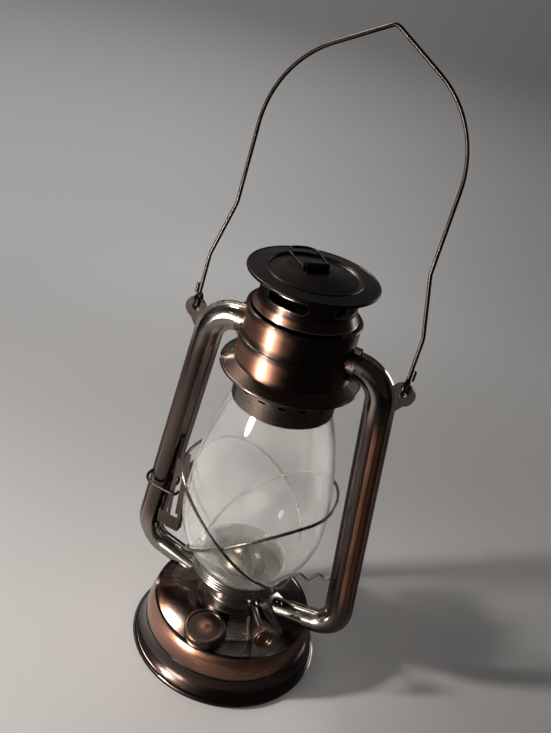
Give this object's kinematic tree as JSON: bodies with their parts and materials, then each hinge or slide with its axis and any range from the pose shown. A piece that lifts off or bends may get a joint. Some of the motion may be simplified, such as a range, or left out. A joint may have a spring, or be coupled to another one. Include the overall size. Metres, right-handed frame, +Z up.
{
  "type": "hurricane lantern",
  "caption": "Oil lantern with side air tubes, clear globe in crossed wire guards on a lifting carriage, rising smoke cap, wick knob, screw filler and wire bail.",
  "frame": {"origin": "centre of the foot, on the table", "axes": "+Z up along the globe, X through the two air tubes with the lift bracket on the -X side, front with the filler cap towards -Y"},
  "size_m": [0.1428, 0.1128, 0.3652],
  "materials": {
    "copper_sheet": "antique copper wash, brushed, browned at the edges",
    "bronze_sheet": "antique bronze wash, satin",
    "dark_sheet": "blackened brown, satin",
    "grey_sheet": "grey brown, dull satin",
    "dark_wire": "dark drawn wire",
    "burner_brass": "dull brass",
    "spindle_steel": "plain",
    "clear_glass": "clear blown glass",
    "wick_cotton": "woven cotton",
    "seal_rubber": "matte"
  },
  "bodies": {
    "frame": {"font_shell": "copper_sheet", "font_top": "dark_sheet", "font_bottom": "grey_sheet", "filler_neck": "burner_brass", "burner_collar": "dark_sheet", "burner_body": "grey_sheet", "burner_cone": "burner_brass", "wick_tube": "burner_brass", "spindle_bush": "burner_brass", "tube_left": "bronze_sheet", "tube_right": "bronze_sheet", "tube_collar_left": "bronze_sheet", "tube_collar_right": "bronze_sheet", "ear_left": "dark_sheet", "ear_right": "dark_sheet", "hood_shell": "copper_sheet", "hood_brim": "dark_sheet", "latch_wire": "dark_wire"},
    "filler_seal": {"filler_gasket": "seal_rubber"},
    "filler_screw": {"filler_cap": "bronze_sheet"},
    "wick_drive": {"wick_wheel": "burner_brass", "wick_spindle": "spindle_steel", "wick_knob": "bronze_sheet"},
    "wick_strip": {"wick": "wick_cotton"},
    "globe_carriage": {"globe_plate": "grey_sheet", "globe": "clear_glass", "guard_hoop_outer": "dark_wire", "guard_hoop_inner": "dark_wire", "lift_bracket": "dark_sheet", "guide_wire": "dark_wire"},
    "chimney": {"chimney_collar": "grey_sheet", "chimney_tube": "grey_sheet", "chimney_neck": "bronze_sheet", "cap_disc": "dark_sheet", "cap_strap": "dark_sheet"},
    "cap_ring": {"lift_ring": "dark_wire"},
    "carry_bail": {"bail": "dark_wire"}
  },
  "joints": [
    {"name": "globe_lift", "type": "slide", "parent": "frame", "child": "globe_carriage", "axis": [0, 0, 1], "range_m": [0, 0.0154]},
    {"name": "chimney_lift", "type": "slide", "parent": "globe_carriage", "child": "chimney", "axis": [0, 0, 1], "range_m": [0, 0.008]},
    {"name": "ring_swing", "type": "hinge", "parent": "chimney", "child": "cap_ring", "pos_m": [0, 0, 0.25205], "axis": [0.7071, 0.7071, 0], "range_deg": [0, 174]},
    {"name": "bail_swing", "type": "hinge", "parent": "frame", "child": "carry_bail", "pos_m": [0, 0, 0.20985], "axis": [1, 0, 0], "range_deg": [-140, 159]},
    {"name": "knob_turn", "type": "hinge", "parent": "frame", "child": "wick_drive", "pos_m": [0.00658, 0.00489, 0.0399], "axis": [-0.5907, 0.7954, -0.1357], "range_deg": [-50, 33]},
    {"name": "wick_feed", "type": "slide", "parent": "frame", "child": "wick_strip", "axis": [0, 0, 1], "range_m": [-0.006, 0.004]},
    {"name": "filler_rise", "type": "slide", "parent": "frame", "child": "filler_seal", "axis": [0, -0.1736, 0.9848], "range_m": [0, 0.0046]},
    {"name": "filler_turn", "type": "hinge", "parent": "filler_seal", "child": "filler_screw", "pos_m": [0.0009, -0.0369, 0.0322], "axis": [0, -0.1736, 0.9848], "range_deg": [0, 540]}
  ],
  "couplings": [
    {"joint": "wick_feed", "follows": "knob_turn", "m_per_rad": 0.0068},
    {"joint": "filler_rise", "follows": "filler_turn", "m_per_rad": 0.00047746}
  ]
}
